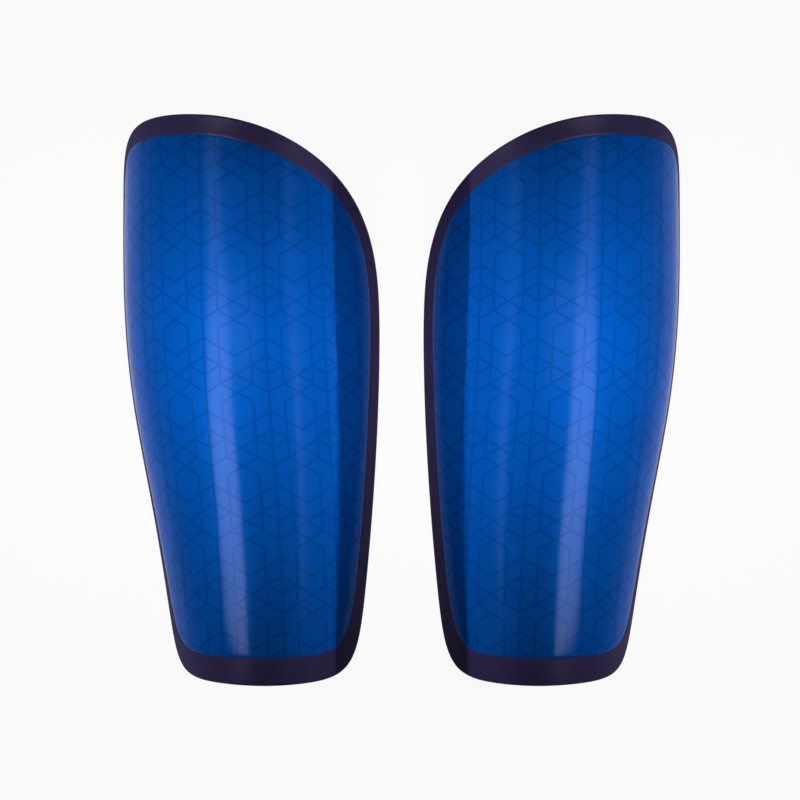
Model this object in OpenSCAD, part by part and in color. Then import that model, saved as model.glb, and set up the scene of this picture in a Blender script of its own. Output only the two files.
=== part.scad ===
// A pair of slip-in shin guards, lying side by side on their long edges with their fronts up.
// X runs across the pair, Y from the ankle edge to the knee edge, and Z up from the surface.
// The two guards are mirror images, and each is four bonded layers over one curved form:
// a face panel flush in a moulded shell, a foam backing and a knitted lining.

/* [Guard] */
// Length of a guard from its ankle edge to its knee edge
guard_length = 220; // [160:1:260]
// Distance across a guard at its widest, between the feet of its two walls
guard_width = 99; // [80:1:120]
// Height of the crown above the surface at its highest
crown_height = 38.5; // [30:0.5:48]

/* [Layers] */
// Thickness of the moulded shell where the face panel is not let in
shell_t = 2.4; // [1.6:0.1:3.5]
// Thickness of the printed face panel and depth of its pocket
panel_t = 0.4; // [0.2:0.1:0.8]
// Thickness of the foam backing away from its edge
foam_t = 5; // [3:0.5:8]
// Thickness of the foam backing at its skived edge
foam_edge_t = 2.5; // [1.5:0.5:3]
// Thickness of the knitted lining
lining_t = 0.8; // [0.4:0.1:1.5]

/* [Rim] */
// How far the rim of the shell turns outwards past the face
rim_lip = 0.6; // [0:0.1:1.5]

/* [Pair] */
// Gap between the two guards as they lie side by side
pair_gap = 16.6; // [6:0.2:60]

/* [Smoothness] */
// Steps along each span of an outline
span_steps = 2; // [2:1:4]
// Steps across the arch from wall to wall
arch_steps = 18; // [12:2:28]

/* [Hidden] */

half_length = guard_length / 2;
station_step = guard_length / 6;

// Guides along the guard at equal stations, from one below the ankle edge to one above the knee edge.
// The feet of the outer and inner walls, as shares of the width left of the innermost point
outer_foot = guard_width * [-0.738, -0.783, -0.831, -0.894, -0.970, -1.002, -1, -1, -1];
inner_foot = guard_width * [-0.157, -0.103, -0.059, -0.028, -0.008, -0.004, -0.008, -0.016, -0.026];
// The height of the crown
crown_line = crown_height * [0.56, 0.65, 0.74, 0.836, 0.93, 0.992, 1.008, 0.96, 0.885];
// How far each wall leans out at its foot, where 1 stands upright
outer_spread = [1.35, 1.3, 1.2, 1.1, 1.04, 1.02, 1.02, 1.02, 1.02];
inner_spread = [1.9, 1.85, 1.7, 1.55, 1.45, 1.45, 1.5, 1.5, 1.5];

// Guides of the closed outlines, from the middle of the ankle edge up the inner wall, over the cut-away
// shoulder to the knee edge, and down the outer wall. Each is [across, along]: across runs from -1 at the
// outer wall's foot, over the crown at 0, to 1 at the inner wall's foot, and along is a share of half_length.
rim_guides = [
    [0, -1.004], [0.42, -0.993], [0.79, -0.964], [1, -0.868], [1, -0.64], [1, -0.27],
    [1, 0.09], [1, 0.39], [0.865, 0.6], [0.59, 0.8], [0.18, 0.96],
    [-0.22, 1.013], [-0.65, 0.987], [-0.88, 0.895], [-1, 0.764], [-1, 0.55],
    [-1, 0.18], [-1, -0.23], [-1, -0.59], [-1, -0.868], [-0.77, -0.964], [-0.4, -0.991]
];
panel_guides = [
    [0, -0.907], [0.36, -0.898], [0.69, -0.88], [0.84, -0.8], [0.865, -0.6], [0.87, -0.27],
    [0.87, 0.07], [0.895, 0.365], [0.775, 0.6], [0.52, 0.755], [0.155, 0.885],
    [-0.2, 0.943], [-0.61, 0.917], [-0.85, 0.875], [-0.91, 0.745], [-0.915, 0.545],
    [-0.915, 0.18], [-0.915, -0.23], [-0.905, -0.565], [-0.885, -0.81], [-0.7, -0.88], [-0.36, -0.898]
];

// Share of the lip halfway across the rim, and how far in from the outer wall's foot the lip is full
mid_lip = 0.25;
lip_run = 0.6;
// Share of the foam's full thickness halfway across the rim
mid_foam = 0.85;

line_points = len(rim_guides) * span_steps;
rows = line_points / 2;
fill_points = (rows - 1) * (arch_steps - 1);

// One point of a uniform cubic B-spline span, for numbers or for points
function spline(u, a, b, c, d) =
    (pow(1 - u, 3) * a + (3 * pow(u, 3) - 6 * u * u + 4) * b
    + (3 * u * u + 3 * u + 1 - 3 * pow(u, 3)) * c + pow(u, 3) * d) / 6;

// Value of a guide list at y
function at_station(guides, y) =
    let (
        place = (y + half_length) / station_step + 1,
        i = max(1, min(len(guides) - 3, floor(place)))
    )
    spline(place - i, guides[i - 1], guides[i], guides[i + 1], guides[i + 2]);

// Smooth closed outline through guides, as [across, y]
function closed_line(guides) =
    let (n = len(guides), flat = [for (g = guides) [g[0], g[1] * half_length]])
    [for (i = [0 : n - 1], s = [0 : span_steps - 1])
        spline(s / span_steps, flat[(i + n - 1) % n], flat[i], flat[(i + 1) % n], flat[(i + 2) % n])];

function halfway(a, b) = [for (i = [0 : len(a) - 1]) (a[i] + b[i]) / 2];

rim_line = closed_line(rim_guides);
panel_line = closed_line(panel_guides);
mid_line = halfway(rim_line, panel_line);

// Half width of a wall of the given spread, over a crown of unit width
function reach(spread) = sqrt(2 - 1 / spread);

// Sine of the angle at which a wall meets the surface, for a crown of the given height to width
function foot_sine(spread, rise) =
    let (foot_cos = 1 - 1 / spread)
    sin(atan(rise * sqrt(spread) * sqrt(1 - foot_cos * foot_cos) / foot_cos));

// Point of the form at [across, y], at a depth below its face. The section is two elliptic walls that
// share their curvature at the crown, and every depth ends on the surface.
function skin(across, y, depth) =
    let (
        outer_k = at_station(outer_spread, y),
        inner_k = at_station(inner_spread, y),
        outer_x = at_station(outer_foot, y),
        inner_x = at_station(inner_foot, y),
        crown_z = at_station(crown_line, y),
        reaches = reach(outer_k) + reach(inner_k),
        rise = crown_z * reaches / (inner_x - outer_x),
        outer_in = outer_x + depth / foot_sine(outer_k, rise),
        inner_in = inner_x - depth / foot_sine(inner_k, rise),
        unit = (inner_in - outer_in) / reaches,
        crown_x = outer_in + unit * reach(outer_k),
        k = across < 0 ? outer_k : inner_k,
        turn = abs(across) * acos(1 - 1 / k)
    )
    [
        crown_x + sign(across) * unit * sqrt(k) * sin(turn),
        y,
        (crown_z - depth) * (1 - k * (1 - cos(turn)))
    ];

// The lip fades out towards the outer wall, which drops straight
function lip(across) =
    let (s = min(1, (across + 1) / lip_run))
    rim_lip * s * s * (3 - 2 * s);

function ring(line, depth, lip_share) =
    [for (p = line) skin(p[0], p[1], depth - lip_share * lip(p[0]))];

// Points inside an outline, on rows between its inner and outer sides
function fill(line, depth) =
    [for (j = [1 : rows - 1], c = [1 : arch_steps - 1])
        let (a = line[j], b = line[line_points - j], p = a + (b - a) * c / arch_steps)
        skin(p[0], p[1], depth)];

// Index of the point at row j and step c, on an outline or inside it
function spot(outline_at, inside_at, j, c) =
    j == 0 || j == rows || c == 0 ? outline_at + j
    : c == arch_steps ? outline_at + line_points - j
    : inside_at + (j - 1) * (arch_steps - 1) + c - 1;

function fill_faces(outline_at, inside_at) =
    [for (j = [0 : rows - 1], c = [0 : arch_steps - 1])
        let (
            a = spot(outline_at, inside_at, j, c),
            b = spot(outline_at, inside_at, j, c + 1),
            d = spot(outline_at, inside_at, j + 1, c),
            e = spot(outline_at, inside_at, j + 1, c + 1)
        )
        each [if (a != b) [a, b, e], if (d != e) [a, e, d]]];

function band_faces(first, second) =
    [for (i = [0 : line_points - 1])
        let (next = (i + 1) % line_points)
        each [
            [first + i, first + next, second + next],
            [first + i, second + next, second + i]
        ]];

function turned(faces) = [for (f = faces) [f[2], f[1], f[0]]];

// Faces of the bands between the rings of a chain, where a ring is named by its place in the list
function bands(chain) =
    [for (r = [0 : 1 : len(chain) - 2]) each band_faces(chain[r] * line_points, chain[r + 1] * line_points)];

// Closed layer between a face and a back. Both are rings from the panel's outline outwards and are faced
// alike, so that two layers meet triangle on triangle, and the back's chain ends over the edge of the layer.
module layer(face_rings, back_rings, face_fill, back_fill) {
    rings = concat(face_rings, back_rings);
    back_from = len(face_rings);
    fill_at = len(rings) * line_points;
    face_chain = [for (r = [0 : back_from - 1]) r];
    back_chain = concat([for (r = [back_from : len(rings) - 1]) r], back_from - 1);
    face = concat(fill_faces(0, fill_at), bands(face_chain));
    back = concat(fill_faces(back_from * line_points, fill_at + fill_points), bands(back_chain));
    polyhedron(
        points = concat([for (r = rings) each r], face_fill, back_fill),
        faces = concat(face, turned(back)),
        convexity = 6
    );
}

// The moulded shell, with the pocket for the face panel sunk in its front
module shell_form() {
    layer(
        [
            ring(panel_line, panel_t, 0),
            ring(panel_line, 0, 0),
            ring(mid_line, 0, mid_lip),
            ring(rim_line, 0, 1)
        ],
        [
            ring(panel_line, shell_t, 0),
            ring(mid_line, shell_t, mid_lip),
            ring(rim_line, shell_t, 1)
        ],
        fill(panel_line, panel_t),
        fill(panel_line, shell_t)
    );
}

// The printed panel that fills the pocket flush
module face_panel_form() {
    layer(
        [ring(panel_line, 0, 0)],
        [ring(panel_line, panel_t, 0)],
        fill(panel_line, 0),
        fill(panel_line, panel_t)
    );
}

// The foam bonded all over the back of the shell, thinner towards its edge
module foam_form() {
    layer(
        [
            ring(panel_line, shell_t, 0),
            ring(mid_line, shell_t, mid_lip),
            ring(rim_line, shell_t, 1)
        ],
        [
            ring(panel_line, shell_t + foam_t, 0),
            ring(mid_line, shell_t + foam_t * mid_foam, mid_lip),
            ring(rim_line, shell_t + foam_edge_t, 1)
        ],
        fill(panel_line, shell_t),
        fill(panel_line, shell_t + foam_t)
    );
}

// The knit laminated to the foam, which stops short of its edge
module lining_form() {
    knit_side = shell_t + foam_t + lining_t;
    layer(
        [
            ring(panel_line, shell_t + foam_t, 0),
            ring(mid_line, shell_t + foam_t * mid_foam, mid_lip)
        ],
        [
            ring(panel_line, knit_side, 0),
            ring(mid_line, shell_t + foam_t * mid_foam + lining_t, mid_lip)
        ],
        fill(panel_line, shell_t + foam_t),
        fill(panel_line, knit_side)
    );
}

module on_left() {
    translate([-pair_gap / 2, 0, 0]) children();
}

module on_right() {
    mirror([1, 0, 0]) on_left() children();
}

module left_shell() { color("#231d33") on_left() shell_form(); }
module left_face_panel() { color("#0559ac") on_left() face_panel_form(); }
module left_foam_backing() { color("#2a2a2e") on_left() foam_form(); }
module left_lining() { color("#3b3d45") on_left() lining_form(); }
module right_shell() { color("#231d33") on_right() shell_form(); }
module right_face_panel() { color("#0559ac") on_right() face_panel_form(); }
module right_foam_backing() { color("#2a2a2e") on_right() foam_form(); }
module right_lining() { color("#3b3d45") on_right() lining_form(); }

left_shell();
left_face_panel();
left_foam_backing();
left_lining();
right_shell();
right_face_panel();
right_foam_backing();
right_lining();
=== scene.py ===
import math

import bmesh
import bpy
import numpy as np
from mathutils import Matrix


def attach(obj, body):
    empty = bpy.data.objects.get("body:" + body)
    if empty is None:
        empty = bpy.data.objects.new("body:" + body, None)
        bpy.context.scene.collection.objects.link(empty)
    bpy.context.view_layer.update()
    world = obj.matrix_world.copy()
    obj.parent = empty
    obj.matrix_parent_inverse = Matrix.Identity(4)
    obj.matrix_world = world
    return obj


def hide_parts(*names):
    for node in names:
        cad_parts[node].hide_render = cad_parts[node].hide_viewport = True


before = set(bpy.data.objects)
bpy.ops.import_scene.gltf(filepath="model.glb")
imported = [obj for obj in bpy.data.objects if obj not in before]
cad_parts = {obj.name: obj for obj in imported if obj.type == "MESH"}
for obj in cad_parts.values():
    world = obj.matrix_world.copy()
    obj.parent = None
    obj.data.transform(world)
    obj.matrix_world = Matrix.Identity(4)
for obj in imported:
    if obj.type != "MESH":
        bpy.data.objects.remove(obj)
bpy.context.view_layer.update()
mm = 0.001

# The form that every layer of a guard is pressed over, in millimetres.
# Guides run along the guard at equal stations, from one below the ankle edge to one above the knee edge.
form = {
    "length": 220,
    "width": 99,
    "crown": 38.5,
    "pairGap": 16.6,
    "stations": 6,
    "outerFoot": (-0.738, -0.783, -0.831, -0.894, -0.970, -1.002, -1, -1, -1),  # shares of the width
    "innerFoot": (-0.157, -0.103, -0.059, -0.028, -0.008, -0.004, -0.008, -0.016, -0.026),
    "crownLine": (0.56, 0.65, 0.74, 0.836, 0.93, 0.992, 1.008, 0.96, 0.885),  # shares of the crown
    "outerSpread": (1.35, 1.3, 1.2, 1.1, 1.04, 1.02, 1.02, 1.02, 1.02),  # 1 is an upright wall
    "innerSpread": (1.9, 1.85, 1.7, 1.55, 1.45, 1.45, 1.5, 1.5, 1.5),
    "lip": 0.6,  # how far the rim turns outwards
    "lipRun": 0.6,  # how far in from the outer wall's foot the lip is full
    "outlineSteps": 400,  # points that measure the way along an outline
    "arcSteps": 33,  # points that measure the way over the face
}

# Closed outlines as (across, share of half the length), from the middle of the ankle edge up the
# inner wall, over the cut-away shoulder to the knee edge, and down the outer wall
rimGuides = (
    (0, -1.004), (0.42, -0.993), (0.79, -0.964), (1, -0.868), (1, -0.64), (1, -0.27),
    (1, 0.09), (1, 0.39), (0.865, 0.6), (0.59, 0.8), (0.18, 0.96),
    (-0.22, 1.013), (-0.65, 0.987), (-0.88, 0.895), (-1, 0.764), (-1, 0.55),
    (-1, 0.18), (-1, -0.23), (-1, -0.59), (-1, -0.868), (-0.77, -0.964), (-0.4, -0.991),
)
panelGuides = (
    (0, -0.907), (0.36, -0.898), (0.69, -0.88), (0.84, -0.8), (0.865, -0.6), (0.87, -0.27),
    (0.87, 0.07), (0.895, 0.365), (0.775, 0.6), (0.52, 0.755), (0.155, 0.885),
    (-0.2, 0.943), (-0.61, 0.917), (-0.85, 0.875), (-0.91, 0.745), (-0.915, 0.545),
    (-0.915, 0.18), (-0.915, -0.23), (-0.905, -0.565), (-0.885, -0.81), (-0.7, -0.88), (-0.36, -0.898),
)
# Where the corners of a blank sit on an outline, counted in guides from the middle of the ankle edge
blankCorners = {"ankleOuter": 19.5, "ankleInner": 24.5, "kneeInner": 31, "kneeOuter": 35}
# What a vertex of a blank knows: its place on the form, its spot on the outline, and its ring,
# which says whether it is inside the blank or on one of its edges
placeKeys = ("across", "along", "depth", "spot")
ringTags = {"plain": 0, "pocket": 1, "faceEdge": 2, "backEdge": 3, "vent": 4}
# How the mesh of every layer is closed and finished
finishing = {
    "mergeDistance": 0.001,
    "bentAngle": 30,  # an edge that is bent by more is rounded
    "smoothAngle": 40,
}
halfLength = form["length"] / 2


# Uniform cubic spline between the two middle guides of four
def splineAt(u, a, b, c, d):
    return ((1 - u) ** 3 * a + (3 * u**3 - 6 * u**2 + 4) * b
            + (3 * u**2 + 3 * u + 1 - 3 * u**3) * c + u**3 * d) / 6


def guideAt(guides, y):
    guides = np.asarray(guides)
    place = (y + halfLength) * form["stations"] / form["length"] + 1
    i = np.clip(np.floor(place).astype(int), 1, len(guides) - 3)
    return splineAt(place - i, guides[i - 1], guides[i], guides[i + 1], guides[i + 2])


def outlineAt(guides, spots):
    points = np.array(guides) * (1, halfLength)
    count = len(points)
    i = np.floor(spots).astype(int)
    u = (spots - i)[:, None]
    return splineAt(u, *(points[(i + step) % count] for step in (-1, 0, 1, 2)))


# Spots of the panel's outline at shares of the distance along it, from one spot to another
def evenSpots(start, end, shares):
    dense = np.linspace(start, end, form["outlineSteps"])
    points = outlineAt(panelGuides, dense) * (form["width"] / 2, 1)
    run = np.concatenate([[0], np.cumsum(np.linalg.norm(np.diff(points, axis=0), axis=1))])
    return np.interp(shares, run / run[-1], dense)


def reachOf(spread):
    return np.sqrt(2 - 1 / spread)


def footSine(spread, rise):
    footCos = 1 - 1 / spread
    return np.sin(np.arctan(rise * np.sqrt(spread) * np.sqrt(1 - footCos**2) / footCos))


# Points of the left guard's form, in metres: two elliptic walls that share their curvature at the crown
def skinAt(across, y, depth):
    outerK = guideAt(form["outerSpread"], y)
    innerK = guideAt(form["innerSpread"], y)
    outerX = guideAt(form["outerFoot"], y) * form["width"]
    innerX = guideAt(form["innerFoot"], y) * form["width"]
    crownZ = guideAt(form["crownLine"], y) * form["crown"]
    reaches = reachOf(outerK) + reachOf(innerK)
    rise = crownZ * reaches / (innerX - outerX)
    outerIn = outerX + depth / footSine(outerK, rise)
    innerIn = innerX - depth / footSine(innerK, rise)
    unit = (innerIn - outerIn) / reaches
    crownX = outerIn + unit * reachOf(outerK)
    k = np.where(across < 0, outerK, innerK)
    turn = np.abs(across) * np.arccos(1 - 1 / k)
    x = crownX + np.sign(across) * unit * np.sqrt(k) * np.sin(turn) - form["pairGap"] / 2
    z = (crownZ - depth) * (1 - k * (1 - np.cos(turn)))
    return np.stack([x, np.broadcast_to(y, x.shape), z], -1) * mm


def lipAt(across):
    s = np.clip((across + 1) / form["lipRun"], 0, 1)
    return form["lip"] * s * s * (3 - 2 * s)


# Distance over the face from the crown to a point, in millimetres, with the outer wall's side negative
def arcAt(across, y):
    steps = np.linspace(0, 1, form["arcSteps"])
    points = skinAt(across[:, None] * steps, np.repeat(y[:, None], len(steps), 1), 0 * steps)
    length = np.linalg.norm(np.diff(points, axis=1), axis=2).sum(1)
    return np.sign(across) * length / mm


def deselectAll():
    if bpy.context.object and bpy.context.object.mode != "OBJECT":
        bpy.ops.object.mode_set(mode="OBJECT")
    bpy.ops.object.select_all(action="DESELECT")


def selectOnly(piece):
    deselectAll()
    piece.select_set(True)
    bpy.context.view_layer.objects.active = piece


def editOnly(piece):
    selectOnly(piece)
    bpy.ops.object.mode_set(mode="EDIT")
    bpy.ops.mesh.select_mode(type="EDGE")


def selectOpenEdges():
    bpy.ops.mesh.select_all(action="DESELECT")
    bpy.ops.mesh.select_non_manifold(
        extend=False, use_wire=False, use_boundary=True, use_multi_face=False,
        use_non_contiguous=False, use_verts=False)


# The edit mesh, and the layers that hold what its vertices know
def blankMesh(piece):
    bm = bmesh.from_edit_mesh(piece.data)
    bm.verts.ensure_lookup_table()
    at = {key: bm.verts.layers.float[key] for key in placeKeys}
    at["ring"] = bm.verts.layers.int["ring"]
    return bm, at


# A flat blank is a grid cut to the panel's outline, with its edge extruded ring by ring towards the rim.
# A ring is (tag, share of the way from the panel's outline to the rim, depth in millimetres).
def cutBlank(name, columns, rows, depth, edgeTag, rings):
    deselectAll()
    bpy.ops.mesh.primitive_grid_add(x_subdivisions=columns, y_subdivisions=rows, size=1, calc_uvs=False)
    blank = bpy.context.active_object
    blank.name = name
    editOnly(blank)
    bm = bmesh.from_edit_mesh(blank.data)
    for key in placeKeys:
        bm.verts.layers.float.new(key)
    bm.verts.layers.int.new("ring")
    bm, at = blankMesh(blank)

    u = np.tile(np.linspace(0, 1, columns + 1), rows + 1)
    v = np.repeat(np.linspace(0, 1, rows + 1), columns + 1)
    c = blankCorners
    turn = len(panelGuides)
    spotsOf = {
        "ankle": evenSpots(c["ankleOuter"], c["ankleInner"], u),
        "inner": evenSpots(c["ankleInner"], c["kneeInner"], v),
        "knee": evenSpots(c["kneeOuter"], c["kneeInner"], u),
        "outer": evenSpots(c["ankleOuter"] + turn, c["kneeOuter"], v),
    }
    side = {key: outlineAt(panelGuides, spots) for key, spots in spotsOf.items()}
    corner = {key: outlineAt(panelGuides, np.array([float(spot)]))[0] for key, spot in c.items()}
    uu, vv = u[:, None], v[:, None]
    flat = ((1 - vv) * side["ankle"] + vv * side["knee"] + (1 - uu) * side["outer"] + uu * side["inner"]
            - (1 - uu) * (1 - vv) * corner["ankleOuter"] - uu * (1 - vv) * corner["ankleInner"]
            - (1 - uu) * vv * corner["kneeOuter"] - uu * vv * corner["kneeInner"])
    edgeSpot = np.select(
        [v == 0, u == 1, v == 1],
        [spotsOf["ankle"], spotsOf["inner"], spotsOf["knee"]], spotsOf["outer"])
    onEdge = (u == 0) | (u == 1) | (v == 0) | (v == 1)
    for i, vert in enumerate(bm.verts):
        vert[at["across"]], vert[at["along"]] = flat[i]
        vert[at["depth"]] = depth
        vert[at["spot"]] = edgeSpot[i]
        vert[at["ring"]] = ringTags[edgeTag] if onEdge[i] else ringTags["plain"]
    bmesh.update_edit_mesh(blank.data)

    for tag, share, ringDepth in rings:
        selectOpenEdges()
        bpy.ops.mesh.extrude_region_move(TRANSFORM_OT_translate={"value": (0, 0, 0)})
        bm, at = blankMesh(blank)
        grown = [vert for vert in bm.verts if vert.select]
        spots = np.array([vert[at["spot"]] for vert in grown])
        line = outlineAt(panelGuides, spots) * (1 - share) + outlineAt(rimGuides, spots) * share
        lips = lipAt(line[:, 0]) * share**2
        for vert, point, lip in zip(grown, line, lips):
            vert[at["across"]], vert[at["along"]] = point
            vert[at["depth"]] = ringDepth - lip
            vert[at["ring"]] = ringTags[tag]
        bmesh.update_edit_mesh(blank.data)
    return blank


# The blank is pressed over the form, and its UV map keeps it laid flat, in metres
def pressBlank(blank):
    editOnly(blank)
    bm, at = blankMesh(blank)
    across, along, depth = np.array(
        [[vert[at[key]] for key in ("across", "along", "depth")] for vert in bm.verts]).T
    for vert, place in zip(bm.verts, skinAt(across, along, depth)):
        vert.co = place
    bm.verts.index_update()
    laidFlat = np.stack([arcAt(across, along), along], -1) * mm
    uvMap = bm.loops.layers.uv.new("laidFlat")
    for face in bm.faces:
        for loop in face.loops:
            loop[uvMap].uv = laidFlat[loop.vert.index]
    bmesh.update_edit_mesh(blank.data)
    bpy.ops.object.mode_set(mode="OBJECT")
    return blank


# The back sheet is turned over and joined to the face, and the open edges are bridged into the
# layer's edge
def closeLayer(face, back):
    editOnly(back)
    bpy.ops.mesh.select_all(action="SELECT")
    bpy.ops.mesh.flip_normals()
    selectOnly(face)
    back.select_set(True)
    bpy.ops.object.join()
    editOnly(face)
    bpy.ops.mesh.select_all(action="SELECT")
    bpy.ops.mesh.remove_doubles(threshold=finishing["mergeDistance"] * mm)
    selectOpenEdges()
    bpy.ops.mesh.bridge_edge_loops()
    bpy.ops.mesh.select_all(action="SELECT")
    bpy.ops.mesh.normals_make_consistent(inside=False)
    bpy.ops.object.mode_set(mode="OBJECT")


def roundEdge(piece, tag, radius, segments):
    editOnly(piece)
    bpy.ops.mesh.select_all(action="DESELECT")
    bm, at = blankMesh(piece)
    bentAngle = math.radians(finishing["bentAngle"])
    for edge in bm.edges:
        bent = len(edge.link_faces) == 2 and edge.calc_face_angle() > bentAngle
        edge.select_set(bent and all(vert[at["ring"]] == ringTags[tag] for vert in edge.verts))
    bmesh.update_edit_mesh(piece.data)
    bpy.ops.mesh.bevel(offset=radius * mm, segments=segments, affect="EDGES", clamp_overlap=True)
    bpy.ops.object.mode_set(mode="OBJECT")


def finishSurface(piece):
    for key in placeKeys + ("ring",):
        piece.data.attributes.remove(piece.data.attributes[key])
    selectOnly(piece)
    bpy.ops.object.shade_smooth_by_angle(angle=math.radians(finishing["smoothAngle"]))
    print(piece.name, len(piece.data.polygons), "faces")


def mirrorToRight(piece, name):
    selectOnly(piece)
    bpy.ops.object.duplicate()
    twin = bpy.context.active_object
    twin.name = name
    twin.scale.x = -1
    bpy.ops.object.transform_apply(location=False, rotation=False, scale=True)
    editOnly(twin)
    bpy.ops.mesh.select_all(action="SELECT")
    bpy.ops.mesh.normals_make_consistent(inside=False)
    bpy.ops.object.mode_set(mode="OBJECT")
    return twin


# sRGB hex code to linear colour
def linear(hexCode):
    parts = [int(hexCode[i:i + 2], 16) / 255 for i in (1, 3, 5)]
    return tuple(p / 12.92 if p <= 0.04045 else ((p + 0.055) / 1.055) ** 2.4 for p in parts) + (1,)


def newMaterial(name):
    material = bpy.data.materials.new(name)
    material.use_nodes = True
    material.node_tree.nodes.clear()
    return material, material.node_tree


# An input is a number, a socket to link, or a node whose first output is linked.
# A mix node takes numbers at inputs 2 and 3 and colours at 6 and 7, and gives its colour at output 2.
def addNode(tree, kind, inputs=None, **settings):
    made = tree.nodes.new(kind)
    for key, value in settings.items():
        setattr(made, key, value)
    for key, value in (inputs or {}).items():
        if isinstance(value, bpy.types.Node):
            value = value.outputs[0]
        if isinstance(value, bpy.types.NodeSocket):
            tree.links.new(value, made.inputs[key])
        else:
            made.inputs[key].default_value = value
    return made


# Noise of slow, rounded patches, as moulding and printing leave them
softNoise = {"Detail": 1.0, "Roughness": 0.4}

# Camera straight above, through a long lens
camera = {
    "lens": 1500,
    "sensor": 36,
    "field": 308.5,  # millimetres that the picture spans
    "aimX": -0.6,
    "aimY": 0.1,
    "clipReach": 3,  # how many times the camera's height is drawn
}


def makeCamera():
    data = bpy.data.cameras.new("overheadCamera")
    data.lens = camera["lens"]
    data.sensor_width = camera["sensor"]
    distance = camera["field"] * mm * camera["lens"] / camera["sensor"]
    data.clip_end = distance * camera["clipReach"]
    eye = bpy.data.objects.new("overheadCamera", data)
    eye.location = (camera["aimX"] * mm, camera["aimY"] * mm, distance)
    bpy.context.collection.objects.link(eye)
    bpy.context.scene.camera = eye
    print("camera", round(distance, 3), "m above the floor")


makeCamera()

# The moulded shell: a pocket for the panel, a rim that turns out, and rounded edges
shell = {
    "columns": 72,
    "rows": 132,
    "thickness": 2.4,
    "pocket": 0.4,
    "rimSteps": (0.15, 0.3, 0.45, 0.6, 0.75, 0.88),
    "edgeRadius": 0.85,
    "edgeSegments": 4,
    "pocketRadius": 0.06,
    "pocketSegments": 2,
    "colour": "#3D355D",
    "toneRange": (0.86, 1.14),
    "toneSize": 14,
    "roughness": (0.25, 0.38),
    "ior": 1.49,  # polypropylene
    "specular": 0.0,  # all the gloss is in the coat
    "coat": 0.03,
    "coatIor": 2.2,  # at this low weight, an even gloss that stays low where the rim is seen edge on
    "coatRoughness": 0.3,
    "peelSize": 1.6,
    "peelHeight": 0.012,
}


def makeShell():
    s = shell
    thick = s["thickness"]
    front = [("pocket", 0, 0)] + [("plain", step, 0) for step in s["rimSteps"]] + [("faceEdge", 1, 0)]
    back = [("plain", step, thick) for step in s["rimSteps"]] + [("backEdge", 1, thick)]
    face = pressBlank(cutBlank("leftShell", s["columns"], s["rows"], s["pocket"], "plain", front))
    rear = pressBlank(cutBlank("shellBack", s["columns"], s["rows"], thick, "plain", back))
    closeLayer(face, rear)
    roundEdge(face, "faceEdge", s["edgeRadius"], s["edgeSegments"])
    roundEdge(face, "backEdge", s["edgeRadius"], s["edgeSegments"])
    roundEdge(face, "pocket", s["pocketRadius"], s["pocketSegments"])
    finishSurface(face)
    return face


# Polypropylene moulded against a polished tool: dark, half glossy, with a trace of orange peel
def mouldedPolypropylene():
    s = shell
    material, tree = newMaterial("mouldedPolypropylene")
    place = addNode(tree, "ShaderNodeTexCoord").outputs["Object"]
    flow = addNode(tree, "ShaderNodeTexNoise", {
        "Vector": place, "Scale": 1 / (s["toneSize"] * mm), **softNoise})
    tone = addNode(tree, "ShaderNodeMapRange", {
        "Value": flow, "To Min": s["toneRange"][0], "To Max": s["toneRange"][1]})
    tint = addNode(tree, "ShaderNodeCombineColor", {0: tone, 1: tone, 2: tone})
    colour = addNode(tree, "ShaderNodeMix", {"Factor": 1.0, 6: linear(s["colour"]), 7: tint},
                     data_type="RGBA", blend_type="MULTIPLY")
    rough = addNode(tree, "ShaderNodeMapRange", {
        "Value": flow, "To Min": s["roughness"][0], "To Max": s["roughness"][1]})
    peel = addNode(tree, "ShaderNodeTexNoise", {
        "Vector": place, "Scale": 1 / (s["peelSize"] * mm), **softNoise})
    bump = addNode(tree, "ShaderNodeBump", {
        "Strength": 1.0, "Distance": s["peelHeight"] * mm, "Height": peel})
    surface = addNode(tree, "ShaderNodeBsdfPrincipled", {
        "Base Color": colour.outputs[2], "Roughness": rough, "Normal": bump,
        "IOR": s["ior"], "Specular IOR Level": s["specular"], "Coat Normal": bump,
        "Coat Weight": s["coat"], "Coat IOR": s["coatIor"], "Coat Roughness": s["coatRoughness"]})
    addNode(tree, "ShaderNodeOutputMaterial", {"Surface": surface})
    return material


leftShell = makeShell()
leftShell.data.materials.append(mouldedPolypropylene())

# The printed panel that fills the pocket flush. Its net is folded at mirror lines across the guard.
panel = {
    "columns": 72,
    "rows": 132,
    "thickness": 0.4,
    "edgeRadius": 0.06,
    "edgeSegments": 2,
    "field": "#0154B3",
    "lineShade": 0.74,
    "cellAcross": 6.11,
    "cellAlong": 3.53,
    "foldCells": 2,  # cells from one mirror line to the next
    "repeatCells": 8,  # cells along the guard until the net repeats
    "firstCell": -2,  # the cell at which a repeat starts
    "diagonal": 30,  # degrees that the diagonals rise
    "pullFrom": -22,  # past this line the film was drawn over the outer wall, which crowds the net
    "outerPull": 1.14,
    "lean": 0.003,  # how far the net's columns turn from the crown line
    "lineWidth": 0.9,
    "lineSoft": 0.32,
    "columnAt": -3.8,
    "rowAt": -32.4,
    "toneSize": 22,
    "toneRange": (0.93, 1.07),
    "metallic": 0.04,
    "roughness": (0.26, 0.33),
    "glossIor": 1.07,  # the pearl ink's own faint blue gloss
    "glossTint": "#4A84FF",
    "coat": 0.03,
    "coatIor": 2.2,  # the titania on the pearl flakes
    "coatRoughness": 0.13,
    "rippleSize": 7,
    "rippleHeight": 0.01,
}
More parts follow.
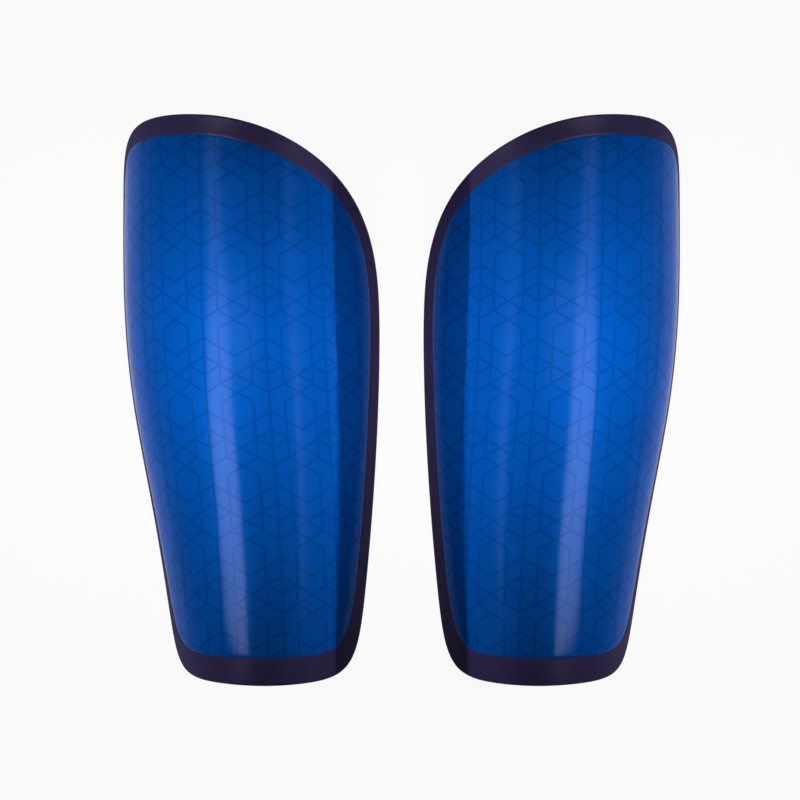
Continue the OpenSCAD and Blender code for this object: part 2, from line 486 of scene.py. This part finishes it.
# Strokes of the net on folded cells: which diagonal, its level, and the columns that it runs between
netStrokes = (
    ("falling", 2, 0, 2), ("falling", 4, 0, 2), ("falling", 6, 0, 1),
    ("rising", 4, 0, 2), ("rising", 2, 1, 2), ("rising", 6, 0, 1),
)
shortUpright = {"column": 1, "middle": 2, "reach": 3}  # in cells


def makePanel():
    s = panel
    face = pressBlank(cutBlank("leftFacePanel", s["columns"], s["rows"], 0, "faceEdge", []))
    rear = pressBlank(cutBlank("panelBack", s["columns"], s["rows"], s["thickness"], "backEdge", []))
    closeLayer(face, rear)
    roundEdge(face, "faceEdge", s["edgeRadius"], s["edgeSegments"])
    finishSurface(face)
    return face


# Clear film printed on its back with blue pearl ink: deep, even colour and thin darker lines under
# a smooth gloss
def printedFilm():
    s = panel
    across, along, fold = s["cellAcross"], s["cellAlong"], s["foldCells"]
    material, tree = newMaterial("printedFilm")
    laid = addNode(tree, "ShaderNodeUVMap", uv_map="laidFlat")
    laid = addNode(tree, "ShaderNodeSeparateXYZ", {0: laid})
    leant = addNode(tree, "ShaderNodeMath", {0: laid.outputs["Y"], 1: s["lean"], 2: laid.outputs["X"]},
                    operation="MULTIPLY_ADD")
    outer = addNode(tree, "ShaderNodeMath", {0: leant, 1: s["pullFrom"] * mm}, operation="SUBTRACT")
    outer = addNode(tree, "ShaderNodeMath", {0: outer, 1: 0.0}, operation="MINIMUM")
    drawn = addNode(tree, "ShaderNodeMath", {0: outer, 1: s["outerPull"] - 1, 2: leant},
                    operation="MULTIPLY_ADD")
    column = addNode(tree, "ShaderNodeMath", {
        0: drawn, 1: 1 / (across * mm), 2: -s["columnAt"] / across}, operation="MULTIPLY_ADD")
    row = addNode(tree, "ShaderNodeMath", {
        0: laid.outputs["Y"], 1: -1 / (along * mm), 2: s["rowAt"] / along - s["firstCell"]},
        operation="MULTIPLY_ADD")
    x = addNode(tree, "ShaderNodeMath", {0: column, 1: fold}, operation="PINGPONG")
    y = addNode(tree, "ShaderNodeMath", {0: row, 1: s["repeatCells"]}, operation="FLOORED_MODULO")
    y = addNode(tree, "ShaderNodeMath", {0: y, 1: s["firstCell"]}, operation="ADD")
    slopes = {}
    for key, operation in (("falling", "ADD"), ("rising", "SUBTRACT")):
        slope = addNode(tree, "ShaderNodeMath", {0: y, 1: x}, operation=operation)
        slopes[key] = addNode(tree, "ShaderNodeMath", {0: slope, 1: s["repeatCells"]},
                              operation="FLOORED_MODULO")

    # Distance in millimetres to the nearest line: the upright between columns, the short upright,
    # and the diagonals
    nearest = addNode(tree, "ShaderNodeMath", {0: x, 1: -across, 2: fold * across},
                      operation="MULTIPLY_ADD")
    beside = addNode(tree, "ShaderNodeMath", {0: x, 1: shortUpright["column"]}, operation="SUBTRACT")
    beside = addNode(tree, "ShaderNodeMath", {0: beside}, operation="ABSOLUTE")
    beside = addNode(tree, "ShaderNodeMath", {0: beside, 1: across}, operation="MULTIPLY")
    beyond = addNode(tree, "ShaderNodeMath", {0: y, 1: shortUpright["middle"]}, operation="SUBTRACT")
    beyond = addNode(tree, "ShaderNodeMath", {0: beyond}, operation="ABSOLUTE")
    beyond = addNode(tree, "ShaderNodeMath", {0: beyond, 1: along, 2: -shortUpright["reach"] * along},
                     operation="MULTIPLY_ADD")
    away = addNode(tree, "ShaderNodeMath", {0: beside, 1: beyond}, operation="MAXIMUM")
    nearest = addNode(tree, "ShaderNodeMath", {0: nearest, 1: away}, operation="MINIMUM")
    lineStep = along * math.cos(math.radians(s["diagonal"]))
    for key, level, start, end in netStrokes:
        away = addNode(tree, "ShaderNodeMath", {0: slopes[key], 1: level}, operation="SUBTRACT")
        away = addNode(tree, "ShaderNodeMath", {0: away}, operation="ABSOLUTE")
        away = addNode(tree, "ShaderNodeMath", {0: away, 1: lineStep}, operation="MULTIPLY")
        if end < fold:
            beyond = addNode(tree, "ShaderNodeMath", {0: x, 1: across, 2: -end * across},
                             operation="MULTIPLY_ADD")
            away = addNode(tree, "ShaderNodeMath", {0: away, 1: beyond}, operation="MAXIMUM")
        if start > 0:
            beyond = addNode(tree, "ShaderNodeMath", {0: x, 1: -across, 2: start * across},
                             operation="MULTIPLY_ADD")
            away = addNode(tree, "ShaderNodeMath", {0: away, 1: beyond}, operation="MAXIMUM")
        nearest = addNode(tree, "ShaderNodeMath", {0: nearest, 1: away}, operation="MINIMUM")
    onLine = addNode(tree, "ShaderNodeMapRange", {
        "Value": nearest, "From Min": s["lineWidth"] / 2 - s["lineSoft"],
        "From Max": s["lineWidth"] / 2 + s["lineSoft"], "To Min": 1.0, "To Max": 0.0},
        interpolation_type="SMOOTHSTEP")

    place = addNode(tree, "ShaderNodeTexCoord").outputs["Object"]
    flow = addNode(tree, "ShaderNodeTexNoise", {
        "Vector": place, "Scale": 1 / (s["toneSize"] * mm), **softNoise})
    shade = addNode(tree, "ShaderNodeMapRange", {
        "Value": onLine, "To Min": 1.0, "To Max": s["lineShade"]})
    tone = addNode(tree, "ShaderNodeMapRange", {
        "Value": flow, "To Min": s["toneRange"][0], "To Max": s["toneRange"][1]})
    tone = addNode(tree, "ShaderNodeMath", {0: tone, 1: shade}, operation="MULTIPLY")
    tint = addNode(tree, "ShaderNodeCombineColor", {0: tone, 1: tone, 2: tone})
    ink = addNode(tree, "ShaderNodeMix", {"Factor": 1.0, 6: linear(s["field"]), 7: tint},
                  data_type="RGBA", blend_type="MULTIPLY")
    rough = addNode(tree, "ShaderNodeMapRange", {
        "Value": flow, "To Min": s["roughness"][0], "To Max": s["roughness"][1]})
    ripple = addNode(tree, "ShaderNodeTexNoise", {
        "Vector": place, "Scale": 1 / (s["rippleSize"] * mm), **softNoise})
    bump = addNode(tree, "ShaderNodeBump", {
        "Strength": 1.0, "Distance": s["rippleHeight"] * mm, "Height": ripple})
    surface = addNode(tree, "ShaderNodeBsdfPrincipled", {
        "Base Color": ink.outputs[2], "Roughness": rough, "Normal": bump, "Coat Normal": bump,
        "Metallic": s["metallic"], "IOR": s["glossIor"], "Specular Tint": linear(s["glossTint"]),
        "Coat Weight": s["coat"], "Coat IOR": s["coatIor"], "Coat Roughness": s["coatRoughness"]})
    addNode(tree, "ShaderNodeOutputMaterial", {"Surface": surface})
    return material


leftPanel = makePanel()
leftPanel.data.materials.append(printedFilm())

# Vents punched through the foam and the lining while their blanks are flat, in staggered rows
vents = {
    "radius": 2,
    "halfBlock": 2,  # cells of the grid each way that a vent takes the place of
    "edgeCells": 6,  # cells kept whole along the outline
    "acrossStep": 14,
    "alongStep": 12,
    "rowCount": 15,
    "sideCount": 5,  # vents tried each way from the crown
}


# With a wall depth, each vent's edge is also drawn down to meet the back sheet
def punchVents(blank, columns, rows, wallDepth=None):
    s = vents
    half = s["halfBlock"]
    editOnly(blank)
    bpy.ops.mesh.select_mode(type="VERT")
    bpy.ops.mesh.select_all(action="DESELECT")
    bm, at = blankMesh(blank)
    gridCount = (columns + 1) * (rows + 1)
    places = np.array([(vert[at["across"]], vert[at["along"]]) for vert in bm.verts[:gridCount]])
    arcs = arcAt(places[:, 0], places[:, 1])
    punched = 0
    for rank in range(s["rowCount"]):
        alongMiddle = (rank - (s["rowCount"] - 1) / 2) * s["alongStep"]
        for step in range(-s["sideCount"], s["sideCount"] + 1):
            arcMiddle = (step + rank % 2 / 2) * s["acrossStep"]
            nearest = int(np.argmin(np.hypot(arcs - arcMiddle, places[:, 1] - alongMiddle)))
            row, column = divmod(nearest, columns + 1)
            if min(row, rows - row, column, columns - column) < s["edgeCells"]:
                continue
            beside = arcs[nearest + 1] - arcs[nearest - 1]
            perAcross = beside / (places[nearest + 1, 0] - places[nearest - 1, 0])
            for r in range(-half, half + 1):
                for c in range(-half, half + 1):
                    i = nearest + r * (columns + 1) + c
                    vert = bm.verts[i]
                    if max(abs(r), abs(c)) < half:
                        vert.select_set(True)
                        continue
                    sideways = arcs[i] - arcMiddle
                    endways = places[i, 1] - alongMiddle
                    push = s["radius"] / math.hypot(sideways, endways) - 1
                    vert[at["across"]] += sideways * push / perAcross
                    vert[at["along"]] += endways * push
                    vert[at["ring"]] = ringTags["vent"]
            punched += 1
    bmesh.update_edit_mesh(blank.data)
    bpy.ops.mesh.delete(type="VERT")
    if wallDepth is not None:
        bpy.ops.mesh.select_mode(type="EDGE")
        bpy.ops.mesh.select_all(action="DESELECT")
        bm, at = blankMesh(blank)
        for edge in bm.edges:
            onVent = all(vert[at["ring"]] == ringTags["vent"] for vert in edge.verts)
            edge.select_set(edge.is_boundary and onVent)
        bmesh.update_edit_mesh(blank.data)
        bpy.ops.mesh.extrude_region_move(TRANSFORM_OT_translate={"value": (0, 0, 0)})
        bm, at = blankMesh(blank)
        for vert in bm.verts:
            if vert.select:
                vert[at["depth"]] = wallDepth
        bmesh.update_edit_mesh(blank.data)
    print(blank.name, punched, "vents")
    return blank


# The foam behind the shell, skived thinner towards its edge
foam = {
    "columns": 88,
    "rows": 160,
    "thickness": 5,
    "skive": (0.1, 0.4),  # shares of the thickness that are gone at the edge: evenly, and ever faster
    "rimSteps": (0.25, 0.5, 0.75, 0.9),
    "edgeRadius": 0.9,
    "edgeSegments": 3,
    "colours": ("#1E1F23", "#2C2D32"),
    "roughness": (0.72, 0.98),
    "ior": 1.49,  # EVA
    "specular": 0.3,
    "cellSize": 0.55,  # about twice the real cells, so that they show
    "cellHeight": 0.12,
    "cellStrength": 0.7,
    "toneSize": 6,
    "toneNoise": {"Detail": 5.0, "Roughness": 0.65},
}


# Depth of the foam's back at a share of the way from the panel's outline to the rim
def foamDepth(share):
    even, faster = foam["skive"]
    return shell["thickness"] + foam["thickness"] * (1 - even * share - faster * share**2)


def makeFoam():
    s = foam
    top = shell["thickness"]
    front = [("plain", step, top) for step in s["rimSteps"]] + [("faceEdge", 1, top)]
    back = [("plain", step, foamDepth(step)) for step in s["rimSteps"]] + [("backEdge", 1, foamDepth(1))]
    face = cutBlank("leftFoamBacking", s["columns"], s["rows"], top, "plain", front)
    rear = cutBlank("foamBack", s["columns"], s["rows"], foamDepth(0), "plain", back)
    pressBlank(punchVents(face, s["columns"], s["rows"], foamDepth(0)))
    pressBlank(punchVents(rear, s["columns"], s["rows"]))
    closeLayer(face, rear)
    roundEdge(face, "backEdge", s["edgeRadius"], s["edgeSegments"])
    finishSurface(face)
    return face


# Sheet EVA split from a block: matt charcoal, with its closed cells cut open into a fine even grain
def splitEvaFoam():
    s = foam
    material, tree = newMaterial("splitEvaFoam")
    place = addNode(tree, "ShaderNodeTexCoord").outputs["Object"]
    cells = addNode(tree, "ShaderNodeTexVoronoi", {"Vector": place, "Scale": 1 / (s["cellSize"] * mm)})
    flow = addNode(tree, "ShaderNodeTexNoise", {
        "Vector": place, "Scale": 1 / (s["toneSize"] * mm), **s["toneNoise"]})
    tone = addNode(tree, "ShaderNodeMath", {0: cells, 1: flow}, operation="MULTIPLY")
    colour = addNode(tree, "ShaderNodeMix", {
        "Factor": tone, 6: linear(s["colours"][0]), 7: linear(s["colours"][1])}, data_type="RGBA")
    rough = addNode(tree, "ShaderNodeMapRange", {
        "Value": flow, "To Min": s["roughness"][0], "To Max": s["roughness"][1]})
    bump = addNode(tree, "ShaderNodeBump", {
        "Strength": s["cellStrength"], "Distance": s["cellHeight"] * mm, "Height": cells})
    surface = addNode(tree, "ShaderNodeBsdfPrincipled", {
        "Base Color": colour.outputs[2], "Roughness": rough, "Normal": bump,
        "IOR": s["ior"], "Specular IOR Level": s["specular"]})
    addNode(tree, "ShaderNodeOutputMaterial", {"Surface": surface})
    return material


leftFoam = makeFoam()
leftFoam.data.materials.append(splitEvaFoam())

# The knit laminated to the foam, which stops short of its edge
lining = {
    "columns": 88,
    "rows": 160,
    "thickness": 0.8,
    "rimSteps": (0.25,),
    "rimEnd": 0.5,
    "edgeRadius": 0.3,
    "edgeSegments": 2,
    "ventRadius": 0.2,
    "ventSegments": 2,
    "flatWidth": 105,
    "flatLength": 212,
    "cutArea": 17970,  # before the vents are punched
    "colours": ("#363942", "#565A66"),
    "ribTone": 0.5,
    "napTone": 0.5,
    "waleStep": 1.2,  # spacing of the knit's ribs, drawn about twice as wide so that they show
    "courseStep": 0.95,
    "loopWave": {"Distortion": 0.6, "Detail": 1.0},
    "ribHeight": 0.16,
    "ribStrength": 0.8,
    "napSize": 0.35,
    "napHeight": 0.06,
    "napStrength": 0.6,
    "napNoise": {"Detail": 3.0, "Roughness": 0.7},
    "roughness": (0.78, 1.0),
    "specular": 0.2,
    "sheen": 0.25,
    "sheenRoughness": 0.5,
}


def makeLining():
    s = lining
    thick = s["thickness"]
    front = [("plain", step, foamDepth(step)) for step in s["rimSteps"]]
    front.append(("faceEdge", s["rimEnd"], foamDepth(s["rimEnd"])))
    back = [("plain", step, foamDepth(step) + thick) for step in s["rimSteps"]]
    back.append(("backEdge", s["rimEnd"], foamDepth(s["rimEnd"]) + thick))
    face = cutBlank("leftLining", s["columns"], s["rows"], foamDepth(0), "plain", front)
    rear = cutBlank("liningBack", s["columns"], s["rows"], foamDepth(0) + thick, "plain", back)
    pressBlank(punchVents(face, s["columns"], s["rows"], foamDepth(0) + thick))
    pressBlank(punchVents(rear, s["columns"], s["rows"]))
    closeLayer(face, rear)
    roundEdge(face, "backEdge", s["edgeRadius"], s["edgeSegments"])
    roundEdge(face, "vent", s["ventRadius"], s["ventSegments"])
    finishSurface(face)
    return face


# Brushed polyester knit: matt grey, fine ribs and courses, and a short nap that lifts the light at
# the edges
def brushedKnit():
    s = lining
    material, tree = newMaterial("brushedKnit")
    laid = addNode(tree, "ShaderNodeUVMap", uv_map="laidFlat")
    wavesPerScale = 2 * math.pi / 20  # the wave texture turns 20 radians for each unit of its scale
    wales = addNode(tree, "ShaderNodeTexWave", {
        "Vector": laid, "Scale": wavesPerScale / (s["waleStep"] * mm), **s["loopWave"]},
        bands_direction="X")
    courses = addNode(tree, "ShaderNodeTexWave", {
        "Vector": laid, "Scale": wavesPerScale / (s["courseStep"] * mm), **s["loopWave"]},
        bands_direction="Y")
    loops = addNode(tree, "ShaderNodeMath", {0: wales.outputs[1], 1: courses.outputs[1]},
                    operation="MULTIPLY")
    place = addNode(tree, "ShaderNodeTexCoord").outputs["Object"]
    nap = addNode(tree, "ShaderNodeTexNoise", {
        "Vector": place, "Scale": 1 / (s["napSize"] * mm), **s["napNoise"]})
    tone = addNode(tree, "ShaderNodeMath", {0: loops, 1: s["ribTone"]}, operation="MULTIPLY")
    tone = addNode(tree, "ShaderNodeMath", {0: nap, 1: s["napTone"], 2: tone}, operation="MULTIPLY_ADD")
    colour = addNode(tree, "ShaderNodeMix", {
        "Factor": tone, 6: linear(s["colours"][0]), 7: linear(s["colours"][1])}, data_type="RGBA")
    rough = addNode(tree, "ShaderNodeMapRange", {
        "Value": nap, "To Min": s["roughness"][0], "To Max": s["roughness"][1]})
    ribs = addNode(tree, "ShaderNodeBump", {
        "Strength": s["ribStrength"], "Distance": s["ribHeight"] * mm, "Height": loops})
    bump = addNode(tree, "ShaderNodeBump", {
        "Strength": s["napStrength"], "Distance": s["napHeight"] * mm, "Height": nap, "Normal": ribs})
    surface = addNode(tree, "ShaderNodeBsdfPrincipled", {
        "Base Color": colour.outputs[2], "Roughness": rough, "Normal": bump,
        "Specular IOR Level": s["specular"],
        "Sheen Weight": s["sheen"], "Sheen Roughness": s["sheenRoughness"]})
    addNode(tree, "ShaderNodeOutputMaterial", {"Surface": surface})
    return material


leftLining = makeLining()
leftLining.data.materials.append(brushedKnit())

# The right guard is the left one mirrored, and every piece rides its guard
layers = (
    ("Shell", leftShell, "shell", "shell"),
    ("FacePanel", leftPanel, "face_panel", "face_panel"),
    ("FoamBacking", leftFoam, "foam_backing", "foam"),
    ("Lining", leftLining, "lining", "lining"),
)
for key, left, node, slot in layers:
    right = mirrorToRight(left, "right" + key)
    for piece, hand in ((left, "left"), (right, "right")):
        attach(piece, hand + "_guard")
        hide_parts(hand + "_" + node)
print("both guards dressed")

# Floor and light. Every lamp has a twin across the pair. turned is its lean up, its lean in and its
# turn in degrees, radiance is the mean level of its face, and a narrow spread stands for a grid on it.
studio = {
    "floorSize": 12,
    "floorWhite": "#F7F7F7",
    "floorGlow": 0.94,  # share of the paper seen as plain white, which leaves a faint shadow
    "fillLevel": 0.02,  # what the dome throws on surfaces
    "coveLow": 0.9,  # the pale cove at the horizon
    "coveHigh": 0.12,  # and the grey tent above it
    "coveFade": 12,
    "lamps": {
        # the streak down the front, and its weaker end towards the knee
        "strip": {"at": (142, -20, 205), "turned": (36, 23, -7), "size": (70, 252),
                  "radiance": 5.1, "spread": 74, "tint": "#FFF3E7", "forGloss": True},
        "topStrip": {"at": (200, 129, 314), "turned": (0, 22, -7), "size": (70, 150),
                     "radiance": 0.33, "spread": 60, "tint": "#FFF3E7", "forGloss": True},
        # a pale card that lies beside the guard, for the gloss on its outer wall
        "card": {"at": (116, -5, 1), "turned": (0, 180, -8), "size": (50, 236),
                 "radiance": 1.8, "spread": 180, "tint": "#FFFFFF", "forGloss": True},
        # a soft lamp above each guard
        "key": {"at": (78, 15, 150), "turned": (0, 0, 0), "size": (80, 50),
                "radiance": 4.0, "spread": 110, "tint": "#FFFFFF", "forGloss": False},
        # low from the side, and over the near guard to the far one's inner wall, whose foot stays dark
        "side": {"at": (600, 0, 123), "turned": (0, 82, 0), "size": (8, 200),
                 "radiance": 210, "spread": 180, "tint": "#FFFFFF", "forGloss": False},
        "cross": {"at": (600, -15, 123), "turned": (0, 86, 0), "size": (8, 180),
                  "radiance": 13, "spread": 16, "tint": "#FFFFFF", "forGloss": False},
    },
}


# 1 for what is seen, also in a gloss or through glass, and 0 for light on its way to a surface
def seenShare(tree):
    path = addNode(tree, "ShaderNodeLightPath")
    seen = path.outputs["Is Camera Ray"]
    for key in ("Is Glossy Ray", "Is Transmission Ray"):
        seen = addNode(tree, "ShaderNodeMath", {0: seen, 1: path.outputs[key]}, operation="MAXIMUM")
    return seen


def makeFloor():
    s = studio
    deselectAll()
    bpy.ops.mesh.primitive_plane_add(size=s["floorSize"], location=(0, 0, 0))
    floor = bpy.context.active_object
    floor.name = "studioFloor"
    material, tree = newMaterial("backgroundPaper")
    paper = addNode(tree, "ShaderNodeBsdfDiffuse", {"Color": linear(s["floorWhite"])})
    glow = addNode(tree, "ShaderNodeEmission", {"Color": (1, 1, 1, 1), "Strength": 1.0})
    share = addNode(tree, "ShaderNodeMath", {0: seenShare(tree), 1: s["floorGlow"]},
                    operation="MULTIPLY")
    mixed = addNode(tree, "ShaderNodeMixShader", {0: share, 1: paper, 2: glow})
    addNode(tree, "ShaderNodeOutputMaterial", {"Surface": mixed})
    floor.data.materials.append(material)


def makeDome():
    s = studio
    world = bpy.data.worlds.new("softDome")
    bpy.context.scene.world = world
    world.use_nodes = True
    tree = world.node_tree
    tree.nodes.clear()
    toward = addNode(tree, "ShaderNodeTexCoord").outputs["Generated"]
    toward = addNode(tree, "ShaderNodeSeparateXYZ", {0: toward})
    level = addNode(tree, "ShaderNodeMath", {0: toward.outputs["Z"], 1: 0.0}, operation="MAXIMUM")
    level = addNode(tree, "ShaderNodeMath", {0: 1.0, 1: level}, operation="SUBTRACT")
    level = addNode(tree, "ShaderNodeMath", {0: level, 1: s["coveFade"]}, operation="POWER")
    level = addNode(tree, "ShaderNodeMapRange", {
        "Value": level, "To Min": s["coveHigh"], "To Max": s["coveLow"]})
    strength = addNode(tree, "ShaderNodeMix", {0: seenShare(tree), 2: s["fillLevel"], 3: level})
    dome = addNode(tree, "ShaderNodeBackground", {"Color": (1, 1, 1, 1), "Strength": strength})
    addNode(tree, "ShaderNodeOutputWorld", {"Surface": dome})


def makeLamps():
    for name, lamp in studio["lamps"].items():
        x, y, z = lamp["at"]
        width, length = lamp["size"]
        leanUp, leanIn, turn = (math.radians(angle) for angle in lamp["turned"])
        for sign, hand in ((-1, "Left"), (1, "Right")):
            data = bpy.data.lights.new(name + hand, "AREA")
            data.shape = "RECTANGLE"
            data.size = width * mm
            data.size_y = length * mm
            data.energy = lamp["radiance"] * math.pi * data.size * data.size_y
            data.spread = math.radians(lamp["spread"])
            data.color = linear(lamp["tint"])[:3]
            placed = bpy.data.objects.new(name + hand, data)
            placed.location = (sign * x * mm, y * mm, z * mm)
            placed.rotation_mode = "YXZ"
            placed.rotation_euler = (leanUp, sign * leanIn, sign * turn)
            placed.visible_camera = False
            placed.visible_glossy = lamp["forGloss"]
            placed.visible_diffuse = not lamp["forGloss"]
            bpy.context.collection.objects.link(placed)
    print("studio lit with", len(studio["lamps"]), "pairs of lamps")


makeFloor()
makeDome()
makeLamps()
bpy.context.scene.view_settings.view_transform = "Standard"
